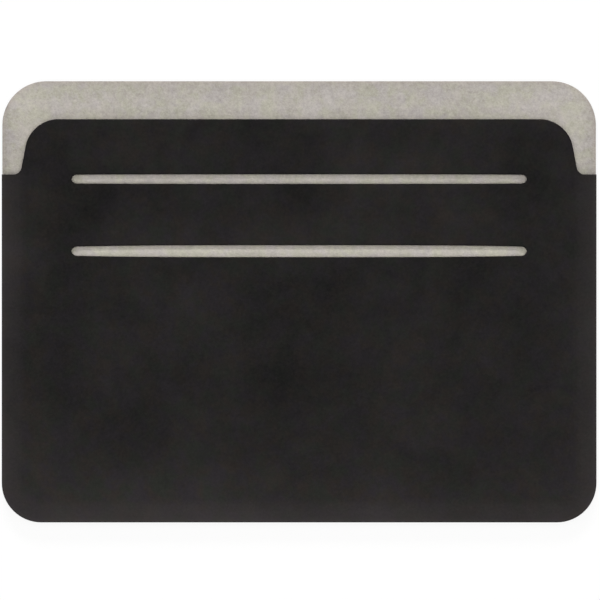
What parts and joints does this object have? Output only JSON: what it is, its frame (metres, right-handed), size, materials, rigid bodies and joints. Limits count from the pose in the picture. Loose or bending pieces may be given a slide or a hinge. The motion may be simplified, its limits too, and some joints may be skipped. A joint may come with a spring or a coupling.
{
  "type": "shielded card sleeve",
  "caption": "Flat bonded card sleeve with a shielding foil, card slots in its front and a wide top pocket behind a flexing lip.",
  "frame": {"origin": "centre of the back face, which the sleeve rests on", "axes": "+X across the sleeve to the right as its front is seen, +Y up to its open top edge, +Z out of its front face"},
  "size_m": [0.115, 0.0854, 0.0048],
  "materials": {
    "skin": "matte soft-touch coated sheet, black",
    "lining": "brushed suede-like microfibre, warm grey",
    "shield": "plain foil",
    "film": "milky bonding film",
    "welt": "dark bonded-fibre filler"
  },
  "bodies": {
    "body": {"back_skin": "skin", "back_shield": "shield", "back_lining": "lining", "seam_welt": "welt", "upper_pocket_sheet": "lining", "middle_seam_film": "film", "upper_pocket_stop": "film", "lower_pocket_sheet": "lining", "front_seam_film": "film", "lower_hem_film": "film", "front_lining": "lining", "front_shield": "shield", "front_skin": "skin"},
    "lip": {"lip_skin": "skin", "lip_shield": "shield", "lip_lining": "lining", "lip_hem_film": "film", "lip_pocket_hem": "lining"}
  },
  "joints": [
    {"name": "lip_flex", "type": "hinge", "parent": "body", "child": "lip", "pos_m": [0, 0.0246, 0.0042], "axis": [1, 0, 0], "range_deg": [0, 25], "stiffness_Nm_per_rad": 0.008}
  ]
}
